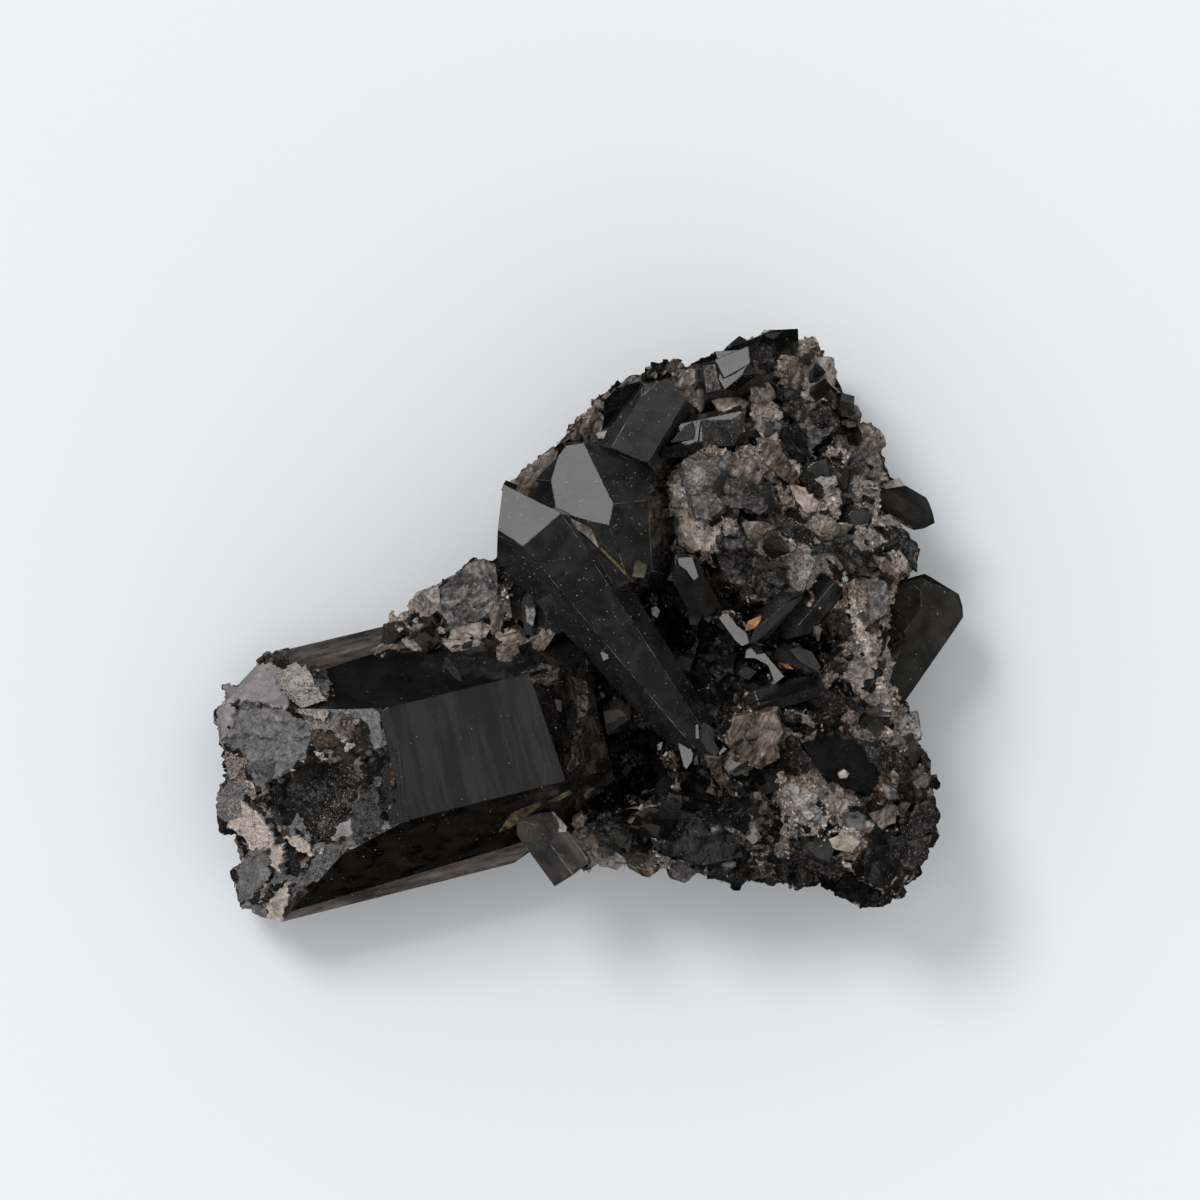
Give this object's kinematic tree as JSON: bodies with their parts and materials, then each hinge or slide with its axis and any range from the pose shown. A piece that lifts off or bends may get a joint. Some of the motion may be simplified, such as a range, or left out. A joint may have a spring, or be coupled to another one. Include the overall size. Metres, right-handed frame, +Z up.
{
  "type": "smoky quartz specimen",
  "caption": "Hand-size smoky quartz specimen: a broken rock mass with a large stubby crystal, a diagonal crystal group and small crystals.",
  "frame": {"origin": "middle of the specimen's footprint, on the surface that it lies on", "axes": "+X along its length, from the large crystal to the rock's far side; +Y across it, towards the short block crystal near the edge; +Z up from the surface that it lies on"},
  "size_m": [0.1204, 0.095, 0.047],
  "materials": {
    "rock": "rough broken quartz, dark grey to brown, with sugary grey, beige and cream patches",
    "smoky_quartz": "glossy, nearly black, see-through only at thin edges",
    "brown_quartz": "glossy, translucent brown",
    "pale_quartz": "frosted grey brown, translucent"
  },
  "bodies": {
    "root": {"matrix": "rock", "large_crystal": "smoky_quartz", "crystal_group": "smoky_quartz", "top_crystal": "smoky_quartz", "pointing_crystal": "smoky_quartz", "edge_crystal": "smoky_quartz", "right_crystal": "brown_quartz", "bottom_crystal": "pale_quartz"}
  },
  "joints": []
}
